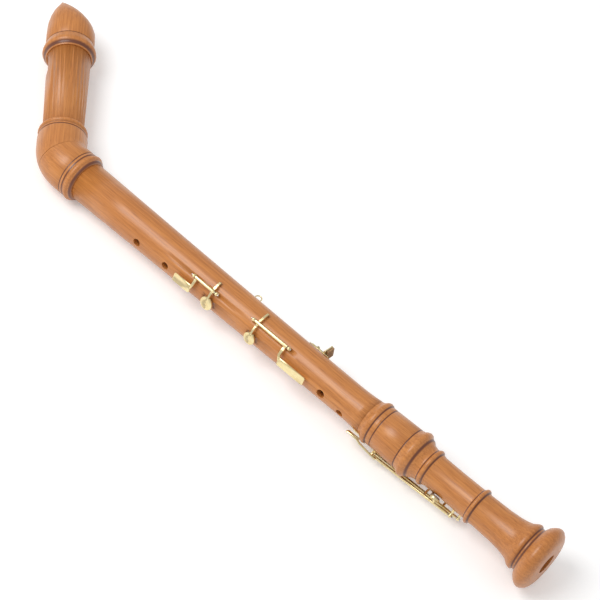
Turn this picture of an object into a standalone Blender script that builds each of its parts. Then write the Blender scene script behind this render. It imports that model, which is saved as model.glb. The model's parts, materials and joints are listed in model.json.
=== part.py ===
"""Bass recorder with a bent head, in pear wood with brass keys.

The instrument is modelled about its own axes and then laid down on its right side:
+X runs from the knee towards the foot along the body bore, +Y points to the player,
+Z to the player's left. The corner where the head's axis meets the body's axis is 0, 0, 0.
"""

import math

import bmesh
import bpy
import numpy as np
from mathutils import Matrix, Vector

MM = 0.001

# Head, knee and joints ---------------------------------------------------------------
KNICK_ANGLE = math.radians(46.3)
HEAD_TURN = math.radians(9.0)

# Knee: a bent tube of two mitred halves
ELBOW_RADIUS = 29.4 * MM
BEND_RADIUS = 35.4 * MM
LOWER_ARM = 44.3 * MM
UPPER_ARM = 42.8 * MM
LOWER_RIM_RADIUS = 30.4 * MM
UPPER_RIM_RADIUS = 29.2 * MM
ELBOW_BORE = 15.5 * MM

# Tenons: radius over the wooden collars, wood under the cork, and length
TENON_COLLAR = 3.0 * MM
CORK_THICKNESS = 1.3 * MM
COLLAR_STEP = 0.9 * MM
UPPER_TENON_RADIUS = 20.9 * MM
UPPER_TENON_LENGTH = 28.5 * MM
HEAD_TENON_RADIUS = 20.9 * MM
HEAD_TENON_LENGTH = 27.0 * MM
FOOT_TENON_RADIUS = 16.9 * MM
FOOT_TENON_LENGTH = 46.0 * MM
CAP_TENON_RADIUS = 24.6 * MM
CAP_TENON_LENGTH = 41.5 * MM
SOCKET_CLEARANCE = 0.6 * MM
JOINT_GAP = 0.3 * MM

# Middle joint
MIDDLE_LENGTH = 436.4 * MM
MIDDLE_TOP_RADIUS = 24.1 * MM
MIDDLE_WAIST_RADIUS = 19.8 * MM
MIDDLE_END_RADIUS = 21.4 * MM
WAIST_FROM_END = 32.0 * MM
MIDDLE_BORE_TOP = 15.2 * MM
MIDDLE_BORE_END = 11.9 * MM

# Holes, as distances from the knee's corner and diameters
HOLE_1_X = 147.6 * MM
HOLE_2_X = 191.9 * MM
HOLE_5_X = 425.0 * MM
HOLE_6_X = 453.5 * MM
HOLE_6_TURN = math.radians(16.0)
THUMB_HOLE_X = 121.0 * MM
HOLE_1_DIAMETER = 9.6 * MM
HOLE_2_DIAMETER = 9.2 * MM
HOLE_5_DIAMETER = 10.2 * MM
HOLE_6_DIAMETER = 9.0 * MM
THUMB_HOLE_DIAMETER = 8.0 * MM

# Foot joint
FOOT_LENGTH = 241.0 * MM
FOOT_SOCKET_BEAD = 26.1 * MM
FOOT_SOCKET_RADIUS = 24.2 * MM
FOOT_BIG_BEAD = 28.4 * MM
FOOT_BIG_BEAD_X = 62.4 * MM
FOOT_SMALL_BEAD = 22.0 * MM
FOOT_SMALL_BEAD_X = 84.2 * MM
FOOT_STEM_RADIUS = 18.2 * MM
FOOT_STEM_BEAD = 21.7 * MM
FOOT_STEM_BEAD_X = 148.3 * MM
FOOT_BELL_RIM = 28.0 * MM
FOOT_BELL_RIM_FROM_END = 28.3 * MM
BELL_RADIUS = 37.5 * MM
BELL_CREST_FROM_END = 9.6 * MM
BELL_FACE_RADIUS = 26.5 * MM
FOOT_BORE = 11.2 * MM
BELL_BORE = 11.5 * MM

# Head tube, window and block
HEAD_LENGTH = 118.5 * MM
HEAD_LOW_RADIUS = 24.0 * MM
HEAD_HIGH_RADIUS = 26.5 * MM
HEAD_BORE = 15.5 * MM
WINDOW_WIDTH = 20.0 * MM
WINDOW_HEIGHT = 8.0 * MM
WINDOW_BELOW_CAP = 3.0 * MM
RAMP_LENGTH = 24.0 * MM
LABIUM_THICKNESS = 0.7 * MM
WINDWAY_HEIGHT = 2.1 * MM
BLOCK_CLEARANCE = 0.3 * MM
BLOCK_TRAVEL = 10.0 * MM

# Cap and beak: heights above the cap's lower edge
CAP_RING_RADIUS = 32.6 * MM
CAP_RING_HEIGHT = 8.0 * MM
CAP_BODY_RADIUS = 29.5 * MM
CAP_GROOVE_HEIGHT = 20.4 * MM
CAP_STRAIGHT_HEIGHT = 42.0 * MM
CAP_HEIGHT = 85.0 * MM
BEAK_TIP_OFFSET = -13.2 * MM
BEAK_TIP_THICKNESS = 4.6 * MM
BEAK_TIP_WIDTH = 27.0 * MM
MOUTH_SLOT_WIDTH = 18.0 * MM
MOUTH_SLOT_HEIGHT = 2.2 * MM
CHAMBER_RADIUS = 17.0 * MM

# Keys: sheet, tube, rod and posts shared by all four
SHEET = 1.4 * MM
ARM_WIDTH = 3.0 * MM
HINGE_TUBE_RADIUS = 1.75 * MM
HINGE_BORE = 1.2 * MM
ROD_RADIUS = 0.9 * MM
POST_RADIUS = 1.35 * MM
POST_BALL_RADIUS = 2.3 * MM
POST_DEPTH = 4.0 * MM
HINGE_END_GAP = 0.4 * MM
PAD_THICKNESS = 2.2 * MM
PAD_GAP = 0.3 * MM
CUP_ROOF = 0.9 * MM
CUP_WALL = 0.8 * MM
SEAT_DEPTH = 0.8 * MM
SPRING_RADIUS = 0.4 * MM
STOP_CORK_RADIUS = 1.6 * MM

# Key for hole 3
KEY_3_POST_A = 231.0 * MM
KEY_3_POST_B = 265.0 * MM
KEY_3_HINGE_TURN = math.radians(-40.0)
KEY_3_HINGE_HEIGHT = 4.4 * MM
KEY_3_PAD_X = 259.5 * MM
KEY_3_CUP_RADIUS = 8.0 * MM
KEY_3_HOLE_DIAMETER = 10.0 * MM
KEY_3_TOUCH_X = 222.5 * MM
KEY_3_TOUCH_TURN = math.radians(-4.5)
KEY_3_TOUCH_LENGTH = 25.0 * MM
KEY_3_TOUCH_WIDTH = 10.6 * MM
KEY_3_TAIL_TURN = math.radians(-67.0)
KEY_3_LIFT = 2.4 * MM

# Key for hole 4
KEY_4_POST_A = 317.0 * MM
KEY_4_POST_B = 369.0 * MM
KEY_4_HINGE_TURN = math.radians(-51.0)
KEY_4_HINGE_HEIGHT = 4.2 * MM
KEY_4_PAD_X = 324.0 * MM
KEY_4_CUP_RADIUS = 7.4 * MM
KEY_4_HOLE_DIAMETER = 9.6 * MM
KEY_4_TOUCH_X = 385.0 * MM
KEY_4_TOUCH_TURN = math.radians(-5.5)
KEY_4_TOUCH_LENGTH = 38.0 * MM
KEY_4_TOUCH_WIDTH = 9.6 * MM
KEY_4_TAIL_TURN = math.radians(-87.0)
KEY_4_LIFT = 2.4 * MM

# Two keys on the foot joint for the little finger, as distances from the foot's top edge
LOW_POST_A = 24.0 * MM
LOW_POST_B = 131.0 * MM
LOW_HINGE_RADIUS_A = 30.6 * MM
LOW_HINGE_RADIUS_B = 26.6 * MM
LOW_SHARP_HINGE_TURN = math.radians(58.0)
LOW_F_HINGE_TURN = math.radians(72.0)
LOW_F_POST_SHIFT = 7.5 * MM
LOW_SHARP_PAD_X = 109.0 * MM
LOW_F_PAD_X = 117.0 * MM
LOW_SHARP_PAD_TURN = math.radians(35.0)
LOW_F_PAD_TURN = math.radians(95.0)
LOW_CUP_RADIUS = 6.2 * MM
LOW_HOLE_DIAMETER = 7.0 * MM
LOW_TOUCH_X = -3.5 * MM
LOW_TOUCH_LENGTH = 16.0 * MM
LOW_TOUCH_WIDTH = 9.4 * MM
LOW_TOUCH_RADIUS = 25.9 * MM
LOW_SHARP_TOUCH_TURN = math.radians(47.5)
LOW_F_TOUCH_TURN = math.radians(82.5)
LOW_ARM_RADIUS = 28.4 * MM
LOW_LIFT = 2.0 * MM

# Strap ring and thumb rest on the back
STRAP_RING_X = 290.0 * MM
STRAP_RING_TURN = math.radians(-176.0)
STRAP_RING_RADIUS = 4.0 * MM
STRAP_WIRE_RADIUS = 0.7 * MM
STRAP_NECK = 2.6 * MM
THUMB_TURN = math.radians(-168.0)
THUMB_PLATE_X = 386.0 * MM
THUMB_PLATE_LENGTH = 27.0 * MM
THUMB_PLATE_WIDTH = 11.0 * MM
THUMB_SCREW_X = 382.0 * MM
THUMB_SCREW_RADIUS = 1.1 * MM
THUMB_KNOB_RADIUS = 1.9 * MM
THUMB_KNOB_HEIGHT = 3.4 * MM
THUMB_HOOK_X = 393.0 * MM
THUMB_HOOK_WIDTH = 15.0 * MM
THUMB_HOOK_HEIGHT = 12.0 * MM
THUMB_TRAVEL = 4.0 * MM
THUMB_CORK = 2.4 * MM

SIDES = 32
FINE_SIDES = 14

HEAD_AXIS = Vector((-math.cos(KNICK_ANGLE), math.sin(KNICK_ANGLE), 0.0))
MIDDLE_START = LOWER_ARM + JOINT_GAP
MIDDLE_END = MIDDLE_START + MIDDLE_LENGTH
FOOT_START = MIDDLE_END + JOINT_GAP
HEAD_START = UPPER_ARM + JOINT_GAP
CAP_START = HEAD_START + HEAD_LENGTH + JOINT_GAP
BEND_START = BEND_RADIUS * math.tan(KNICK_ANGLE / 2.0)


# Materials ---------------------------------------------------------------------------
def material(name, color, roughness, metallic=0.0):
    mat = bpy.data.materials.get(name)
    if mat:
        return mat
    mat = bpy.data.materials.new(name)
    mat.use_nodes = True
    shader = mat.node_tree.nodes["Principled BSDF"]
    shader.inputs["Base Color"].default_value = (*color, 1.0)
    shader.inputs["Roughness"].default_value = roughness
    shader.inputs["Metallic"].default_value = metallic
    return mat


def pear_wood():
    return material("pear wood", (0.53, 0.27, 0.11), 0.42)


def cedar():
    return material("cedar", (0.38, 0.17, 0.09), 0.6)


def brass():
    return material("brass", (0.80, 0.66, 0.36), 0.28, 1.0)


def steel():
    return material("steel", (0.55, 0.55, 0.56), 0.3, 1.0)


def cork():
    return material("cork", (0.45, 0.28, 0.14), 0.85)


def pad_leather():
    return material("pad leather", (0.35, 0.26, 0.20), 0.7)


# Frames and places -------------------------------------------------------------------
def around(x, turn, radius):
    """A point at a turn from the line of finger holes, positive to the player's right."""
    angle = turn - HEAD_TURN
    return Vector((x, -radius * math.cos(angle), -radius * math.sin(angle)))


def outward(turn):
    angle = turn - HEAD_TURN
    return Vector((0.0, -math.cos(angle), -math.sin(angle)))


def frame(origin, x_axis, z_axis):
    x_axis = x_axis.normalized()
    y_axis = z_axis.cross(x_axis).normalized()
    z_axis = x_axis.cross(y_axis)
    turn = Matrix((x_axis, y_axis, z_axis)).transposed()
    return Matrix.Translation(origin) @ turn.to_4x4()


def head_frame(height):
    """X along the head's axis towards the beak, Y to the back, Z to the player's left."""
    back = Vector((math.sin(KNICK_ANGLE), math.cos(KNICK_ANGLE), 0.0))
    turn = Matrix((HEAD_AXIS, back, HEAD_AXIS.cross(back))).transposed()
    return Matrix.Translation(HEAD_AXIS * height) @ turn.to_4x4()


def body_radius(x):
    """Outside radius of the middle joint at a distance from the knee's corner."""
    waist = MIDDLE_END - WAIST_FROM_END
    if x >= waist:
        part = min((x - waist) / WAIST_FROM_END, 1.0)
        return MIDDLE_WAIST_RADIUS + (MIDDLE_END_RADIUS - MIDDLE_WAIST_RADIUS) * part ** 2.2
    part = max((waist - x) / (waist - MIDDLE_START), 0.0)
    return MIDDLE_WAIST_RADIUS + (MIDDLE_TOP_RADIUS - MIDDLE_WAIST_RADIUS) * min(part, 1.0) ** 1.35


# Solids ------------------------------------------------------------------------------
def make_object(name, bm, mat):
    bmesh.ops.recalc_face_normals(bm, faces=bm.faces)
    mesh = bpy.data.meshes.new(name)
    bm.to_mesh(mesh)
    bm.free()
    if signed_volume(mesh) < 0.0:
        mesh.flip_normals()
    mesh.materials.append(mat)
    obj = bpy.data.objects.new(name, mesh)
    bpy.context.scene.collection.objects.link(obj)
    return obj


def signed_volume(mesh):
    total = 0.0
    mesh.calc_loop_triangles()
    for tri in mesh.loop_triangles:
        a, b, c = (mesh.vertices[i].co for i in tri.vertices)
        total += a.dot(b.cross(c)) / 6.0
    return total


def turned(name, profile, mat, sides=SIDES, place=None):
    """A profile of (x, radius) pairs turned about the X axis into one closed solid.

    A profile whose ends lie on the axis is a solid piece, any other closes on itself.
    """
    bm = bmesh.new()
    verts = [bm.verts.new((x, radius, 0.0)) for x, radius in profile]
    edges = [bm.edges.new(pair) for pair in zip(verts, verts[1:])]
    if profile[0][1] > 0.0:
        edges.append(bm.edges.new((verts[-1], verts[0])))
    bmesh.ops.spin(
        bm,
        geom=verts + edges,
        cent=(0.0, 0.0, 0.0),
        axis=(1.0, 0.0, 0.0),
        angle=math.tau,
        steps=sides,
        use_merge=True,
    )
    bmesh.ops.remove_doubles(bm, verts=bm.verts, dist=1e-6)
    if place:
        bmesh.ops.transform(bm, matrix=place, verts=bm.verts)
    return make_object(name, bm, mat)


def loft(name, rings, mat, ends=False):
    """Rings of equally many points joined side by side, closed on itself or by end faces."""
    bm = bmesh.new()
    loops = [[bm.verts.new(point) for point in ring] for ring in rings]
    pairs = list(zip(loops, loops[1:]))
    if not ends:
        pairs.append((loops[-1], loops[0]))
    for one, other in pairs:
        count = len(one)
        for i in range(count):
            j = (i + 1) % count
            bm.faces.new((one[i], one[j], other[j], other[i]))
    if ends:
        bm.faces.new(loops[0])
        bm.faces.new(list(reversed(loops[-1])))
    return make_object(name, bm, mat)


def block_solid(name, size, place, mat, bevel=0.0):
    """A box of a size, centred on a frame, with its edges rounded off."""
    bm = bmesh.new()
    bmesh.ops.create_cube(bm, size=1.0)
    bmesh.ops.scale(bm, vec=size, verts=bm.verts)
    if bevel > 0.0:
        bmesh.ops.bevel(bm, geom=bm.edges, offset=bevel, segments=1, affect="EDGES")
    bmesh.ops.transform(bm, matrix=place, verts=bm.verts)
    return make_object(name, bm, mat)


def rod_solid(name, start, end, radius, mat, sides=FINE_SIDES):
    """A round bar between two points."""
    along = end - start
    side = Vector((0.0, 0.0, 1.0)) if abs(along.normalized().z) < 0.9 else Vector((0.0, 1.0, 0.0))
    place = frame(start, along, side)
    profile = [(0.0, 0.0), (0.0, radius), (along.length, radius), (along.length, 0.0)]
    return turned(name, profile, mat, sides, place)


def strap(name, points, normals, width, thickness, mat):
    """A flat bar along points, its broad side facing along the normals."""
    rings = []
    for i, point in enumerate(points):
        before = points[max(i - 1, 0)]
        after = points[min(i + 1, len(points) - 1)]
        along = (after - before).normalized()
        up = (normals[i] - along * normals[i].dot(along)).normalized()
        side = along.cross(up)
        rings.append([
            point + side * (width / 2.0) + up * (thickness / 2.0),
            point - side * (width / 2.0) + up * (thickness / 2.0),
            point - side * (width / 2.0) - up * (thickness / 2.0),
            point + side * (width / 2.0) - up * (thickness / 2.0),
        ])
    return loft(name, rings, mat, ends=True)


def combine(target, tool, operation):
    modifier = target.modifiers.new(operation.lower(), "BOOLEAN")
    modifier.operation = operation
    modifier.object = tool
    modifier.solver = "EXACT"
    bpy.context.view_layer.objects.active = target
    bpy.ops.object.modifier_apply(modifier=modifier.name)
    bpy.data.objects.remove(tool)


def cut(target, *tools):
    for tool in tools:
        combine(target, tool, "DIFFERENCE")


def unite(target, *tools):
    for tool in tools:
        combine(target, tool, "UNION")


def clean(obj):
    """Drops the slivers that cuts leave, and splits faces into triangles."""
    bm = bmesh.new()
    bm.from_mesh(obj.data)
    bmesh.ops.remove_doubles(bm, verts=bm.verts, dist=2e-6)
    bmesh.ops.dissolve_degenerate(bm, edges=bm.edges, dist=2e-6)
    bmesh.ops.triangulate(bm, faces=bm.faces)
    bm.to_mesh(obj.data)
    bm.free()


def finish(obj, place, parent=None):
    """Puts an object's origin at a frame without moving its surface, and smooths it."""
    clean(obj)
    obj.data.transform(place.inverted())
    obj.matrix_world = place
    obj.data.shade_smooth()
    obj.data.set_sharp_from_angle(angle=math.radians(32.0))
    return obj


# Turned profiles ---------------------------------------------------------------------
def groove(x, radius, depth=0.7 * MM, half=0.7 * MM):
    return [(x - half, radius), (x, radius - depth), (x + half, radius)]


def bead(x, half, foot_before, crest, foot_after):
    """A half-round ring whose sides start at their own radii."""
    points = []
    for part in (-1.0, -0.8, -0.42, 0.0, 0.42, 0.8, 1.0):
        foot = foot_before if part < 0.0 else foot_after
        height = math.sqrt(max(1.0 - part * part, 0.0))
        points.append((x + half * part, foot + (crest - foot) * height))
    return points


def tenon(start, length, radius, direction):
    """The outside of a tenon from its shoulder to its end, with a bed for the cork."""
    bed = radius - COLLAR_STEP
    steps = [
        (0.0, radius),
        (TENON_COLLAR, radius),
        (TENON_COLLAR, bed),
        (length - TENON_COLLAR, bed),
        (length - TENON_COLLAR, radius),
        (length, radius),
    ]
    return [(start + direction * x, r) for x, r in steps]


def cork_ring(name, start, length, radius, direction, place=None):
    inner = radius - COLLAR_STEP + JOINT_GAP
    outer = radius + SOCKET_CLEARANCE - JOINT_GAP
    low = start + direction * (TENON_COLLAR + JOINT_GAP)
    high = start + direction * (length - TENON_COLLAR - JOINT_GAP)
    profile = [(low, inner), (high, inner), (high, outer), (low, outer)]
    return turned(name, profile, cork(), SIDES, place)


# Knee --------------------------------------------------------------------------------
def ring_points(center, axis, up, radius, sides=SIDES):
    side = axis.cross(up)
    points = []
    for i in range(sides):
        angle = math.tau * i / sides
        points.append(center + up * (radius * math.cos(angle)) + side * (radius * math.sin(angle)))
    return points


def bend_path(part, from_head):
    """Centre and axis on the knee's bend, part 0 at its end and 1 at the mitre."""
    angle = part * KNICK_ANGLE / 2.0
    if from_head:
        angle = KNICK_ANGLE - angle
    center = Vector((BEND_START, BEND_RADIUS, 0.0))
    point = center + Vector((-math.sin(angle), -math.cos(angle), 0.0)) * BEND_RADIUS
    axis = Vector((-math.cos(angle), math.sin(angle), 0.0))
    return point, axis


def knee_half(name, arm, profile, socket_radius, socket_depth, from_head):
    """One half of the knee: a turned arm with its socket, bent as far as the mitre."""
    up = Vector((0.0, 0.0, 1.0))
    arm_axis = HEAD_AXIS if from_head else Vector((1.0, 0.0, 0.0))
    # The ring axes all run the same way round, from the rim towards the mitre.
    inward = -arm_axis
    rings = [ring_points(arm_axis * x, inward, up, radius) for x, radius in profile]
    gap = JOINT_GAP / 2.0 / BEND_RADIUS / (KNICK_ANGLE / 2.0)
    parts = [i / 5.0 for i in range(1, 5)] + [1.0 - gap]
    for part in parts:
        point, axis = bend_path(part, from_head)
        axis = -axis if from_head else axis
        rings.append(ring_points(point, axis, up, ELBOW_RADIUS))
    for part in reversed([0.0] + parts):
        point, axis = bend_path(part, from_head)
        axis = -axis if from_head else axis
        rings.append(ring_points(point, axis, up, ELBOW_BORE))
    bottom = arm - socket_depth
    for x, radius in [(bottom, ELBOW_BORE), (bottom, socket_radius), (arm, socket_radius)]:
        if x > BEND_START + 0.2 * MM or radius > ELBOW_BORE:
            rings.append(ring_points(arm_axis * x, inward, up, radius))
    return loft(name, rings, pear_wood())


def build_knee():
    low = [(LOWER_ARM, UPPER_TENON_RADIUS + SOCKET_CLEARANCE + 3.0 * MM)]
    low += [(LOWER_ARM - 0.8 * MM, LOWER_RIM_RADIUS - 4.0 * MM)]
    low += [(LOWER_ARM - 2.4 * MM, LOWER_RIM_RADIUS - 3.2 * MM)]
    low += [(LOWER_ARM - 4.2 * MM, LOWER_RIM_RADIUS - 3.0 * MM)]
    low += list(reversed(bead(LOWER_ARM - 7.4 * MM, 2.8 * MM, ELBOW_RADIUS - 0.9 * MM,
                              LOWER_RIM_RADIUS, LOWER_RIM_RADIUS - 2.6 * MM)))
    low += [(LOWER_ARM - 12.0 * MM, ELBOW_RADIUS)]
    low += list(reversed(groove(LOWER_ARM - 16.2 * MM, ELBOW_RADIUS)))
    low += [(BEND_START, ELBOW_RADIUS)]
    lower = knee_half("knee_lower", LOWER_ARM, low, UPPER_TENON_RADIUS + SOCKET_CLEARANCE,
                      UPPER_TENON_LENGTH + JOINT_GAP, False)
    finish(lower, Matrix.Translation((LOWER_ARM, 0.0, 0.0)))

    high = [(UPPER_ARM, HEAD_TENON_RADIUS + SOCKET_CLEARANCE + 3.0 * MM)]
    high += list(reversed(bead(UPPER_ARM - 3.0 * MM, 2.6 * MM, UPPER_RIM_RADIUS - 1.8 * MM,
                               UPPER_RIM_RADIUS, UPPER_RIM_RADIUS - 2.8 * MM)))
    high += [(UPPER_ARM - 6.2 * MM, UPPER_RIM_RADIUS - 2.0 * MM)]
    high += [(UPPER_ARM - 7.4 * MM, UPPER_RIM_RADIUS - 0.7 * MM)]
    high += list(reversed(groove(UPPER_ARM - 10.8 * MM, ELBOW_RADIUS - 0.5 * MM)))
    high += [(UPPER_ARM - 13.5 * MM, ELBOW_RADIUS)]
    high += [(BEND_START, ELBOW_RADIUS)]
    upper = knee_half("knee_upper", UPPER_ARM, high, HEAD_TENON_RADIUS + SOCKET_CLEARANCE,
                      HEAD_TENON_LENGTH + JOINT_GAP, True)
    finish(upper, head_frame(UPPER_ARM))


# Middle joint ------------------------------------------------------------------------
def drill(x, turn, diameter, reach, from_radius=0.0):
    start = around(x, turn, from_radius)
    end = around(x, turn, reach)
    return rod_solid("drill", start, end, diameter / 2.0, pear_wood(), 16)


def seat_cutter(x, turn, flat_radius, width):
    """A round flat spot on a turned surface, down to a radius from the axis."""
    start = around(x, turn, flat_radius)
    end = around(x, turn, flat_radius + 12.0 * MM)
    return rod_solid("seat cutter", start, end, width, pear_wood(), 24)


def build_middle_joint():
    profile = list(reversed(tenon(MIDDLE_START, UPPER_TENON_LENGTH, UPPER_TENON_RADIUS, -1.0)))
    waist = MIDDLE_END - WAIST_FROM_END
    stations = [MIDDLE_START + (waist - MIDDLE_START) * i / 6.0 for i in range(7)]
    stations += [waist + WAIST_FROM_END * part for part in (0.4, 0.7, 1.0)]
    profile += [(x, body_radius(x)) for x in stations]
    profile += tenon(MIDDLE_END, FOOT_TENON_LENGTH, FOOT_TENON_RADIUS, 1.0)
    profile += [(MIDDLE_END + FOOT_TENON_LENGTH, MIDDLE_BORE_END)]
    profile += [(MIDDLE_START - UPPER_TENON_LENGTH, MIDDLE_BORE_TOP)]
    joint = turned("middle_joint", profile, pear_wood())

    for x, turn, diameter in (
        (HOLE_1_X, 0.0, HOLE_1_DIAMETER),
        (HOLE_2_X, 0.0, HOLE_2_DIAMETER),
        (KEY_3_PAD_X, 0.0, KEY_3_HOLE_DIAMETER),
        (KEY_4_PAD_X, 0.0, KEY_4_HOLE_DIAMETER),
        (HOLE_5_X, 0.0, HOLE_5_DIAMETER),
        (HOLE_6_X, HOLE_6_TURN, HOLE_6_DIAMETER),
        (THUMB_HOLE_X, math.pi, THUMB_HOLE_DIAMETER),
    ):
        cut(joint, drill(x, turn, diameter, body_radius(x) + 5.0 * MM))
    for x, cup in ((KEY_3_PAD_X, KEY_3_CUP_RADIUS), (KEY_4_PAD_X, KEY_4_CUP_RADIUS)):
        cut(joint, seat_cutter(x, 0.0, body_radius(x) - SEAT_DEPTH, cup + 1.0 * MM))
    for x, turn in (
        (KEY_3_POST_A, KEY_3_HINGE_TURN),
        (KEY_3_POST_B, KEY_3_HINGE_TURN),
        (KEY_4_POST_A, KEY_4_HINGE_TURN),
        (KEY_4_POST_B, KEY_4_HINGE_TURN),
    ):
        depth = body_radius(x) - POST_DEPTH - JOINT_GAP
        cut(joint, drill(x, turn, 2.0 * (POST_RADIUS + JOINT_GAP), body_radius(x) + 5.0 * MM, depth))
    depth = body_radius(STRAP_RING_X) - POST_DEPTH - JOINT_GAP
    cut(joint, drill(STRAP_RING_X, STRAP_RING_TURN, 2.0 * (POST_RADIUS + JOINT_GAP),
                     body_radius(STRAP_RING_X) + 5.0 * MM, depth))
    depth = body_radius(THUMB_SCREW_X) - POST_DEPTH - JOINT_GAP
    cut(joint, drill(THUMB_SCREW_X, THUMB_TURN, 2.0 * (THUMB_SCREW_RADIUS + JOINT_GAP),
                     body_radius(THUMB_SCREW_X) + 5.0 * MM, depth))
    finish(joint, Matrix.Translation((MIDDLE_START, 0.0, 0.0)))

    ring = cork_ring("upper_tenon_cork", MIDDLE_START, UPPER_TENON_LENGTH, UPPER_TENON_RADIUS, -1.0)
    finish(ring, Matrix.Translation((MIDDLE_START, 0.0, 0.0)))
    ring = cork_ring("foot_tenon_cork", MIDDLE_END, FOOT_TENON_LENGTH, FOOT_TENON_RADIUS, 1.0)
    finish(ring, Matrix.Translation((MIDDLE_END, 0.0, 0.0)))


# Foot joint --------------------------------------------------------------------------
def foot_profile():
    """Outside of the foot joint, from its top edge to its end face."""
    end = FOOT_LENGTH
    socket = FOOT_SOCKET_RADIUS
    stem = FOOT_STEM_RADIUS
    points = [(0.0, MIDDLE_END_RADIUS)]
    points += [(2.5 * MM, MIDDLE_END_RADIUS + 0.6 * MM)]
    points += [(4.6 * MM, MIDDLE_END_RADIUS + 2.0 * MM)]
    points += [(6.4 * MM, FOOT_SOCKET_BEAD - 0.8 * MM)]
    points += [(8.6 * MM, FOOT_SOCKET_BEAD)]
    points += [(11.2 * MM, FOOT_SOCKET_BEAD - 0.6 * MM)]
    points += [(12.5 * MM, socket - 0.7 * MM)]
    points += [(13.4 * MM, socket)]
    points += groove(19.1 * MM, socket)
    points += groove(FOOT_BIG_BEAD_X - 9.5 * MM, socket + 0.8 * MM)
    points += [(FOOT_BIG_BEAD_X - 5.4 * MM, socket + 1.4 * MM)]
    points += [(FOOT_BIG_BEAD_X - 2.8 * MM, FOOT_BIG_BEAD - 0.8 * MM)]
    points += [(FOOT_BIG_BEAD_X, FOOT_BIG_BEAD)]
    points += [(FOOT_BIG_BEAD_X + 2.6 * MM, FOOT_BIG_BEAD - 0.8 * MM)]
    points += [(FOOT_BIG_BEAD_X + 4.3 * MM, FOOT_BIG_BEAD - 2.9 * MM)]
    points += [(FOOT_BIG_BEAD_X + 8.0 * MM, FOOT_BIG_BEAD - 4.4 * MM)]
    points += [(FOOT_BIG_BEAD_X + 10.6 * MM, FOOT_SMALL_BEAD - 0.4 * MM)]
    points += [(FOOT_SMALL_BEAD_X - 6.0 * MM, FOOT_SMALL_BEAD - 2.1 * MM)]
    points += bead(FOOT_SMALL_BEAD_X, 2.6 * MM, FOOT_SMALL_BEAD - 1.9 * MM, FOOT_SMALL_BEAD,
                   FOOT_SMALL_BEAD - 2.4 * MM)
    points += [(FOOT_SMALL_BEAD_X + 4.4 * MM, FOOT_SMALL_BEAD - 2.8 * MM)]
    points += [(FOOT_SMALL_BEAD_X + 7.4 * MM, stem + 0.2 * MM)]
    points += [((FOOT_SMALL_BEAD_X + FOOT_STEM_BEAD_X) / 2.0, stem)]
    points += [(FOOT_STEM_BEAD_X - 5.4 * MM, stem + 0.3 * MM)]
    points += bead(FOOT_STEM_BEAD_X, 2.5 * MM, stem + 0.8 * MM, FOOT_STEM_BEAD, stem + 1.2 * MM)
    points += [(FOOT_STEM_BEAD_X + 5.4 * MM, stem + 0.4 * MM)]
    rim = end - FOOT_BELL_RIM_FROM_END
    run = rim - FOOT_STEM_BEAD_X
    points += [(FOOT_STEM_BEAD_X + run * 0.48, stem + 1.1 * MM)]
    points += [(FOOT_STEM_BEAD_X + run * 0.68, stem + 2.3 * MM)]
    points += [(rim - 14.5 * MM, stem + 3.4 * MM)]
    points += [(rim - 8.2 * MM, stem + 5.2 * MM)]
    points += [(rim - 3.0 * MM, FOOT_BELL_RIM - 1.0 * MM)]
    points += [(rim, FOOT_BELL_RIM)]
    points += [(rim + 1.8 * MM, FOOT_BELL_RIM - 0.5 * MM)]
    points += [(rim + 2.8 * MM, FOOT_BELL_RIM - 1.8 * MM)]
    points += [(rim + 6.2 * MM, FOOT_BELL_RIM - 2.4 * MM)]
    crest = end - BELL_CREST_FROM_END
    points += [(crest - 9.4 * MM, BELL_RADIUS - 5.8 * MM)]
    points += [(crest - 6.0 * MM, BELL_RADIUS - 2.6 * MM)]
    points += [(crest - 3.0 * MM, BELL_RADIUS - 0.6 * MM)]
    points += [(crest, BELL_RADIUS)]
    points += [(crest + 3.2 * MM, BELL_RADIUS - 0.9 * MM)]
    points += [(crest + 6.2 * MM, BELL_RADIUS - 3.6 * MM)]
    points += [(crest + 8.4 * MM, BELL_RADIUS - 7.0 * MM)]
    points += [(end, BELL_FACE_RADIUS)]
    return points


def low_hinge(turn, shift):
    """The two ends of a low key's hinge, where its posts hold it."""
    start = around(FOOT_START + LOW_POST_A, turn, LOW_HINGE_RADIUS_A)
    far = around(FOOT_START + LOW_POST_B, turn, LOW_HINGE_RADIUS_B)
    along = (far - start).normalized()
    return start, far + along * shift


def foot_radius(x):
    points = foot_profile()
    xs = [point[0] for point in points]
    radii = [point[1] for point in points]
    return float(np.interp(x - FOOT_START, xs, radii))


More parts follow.
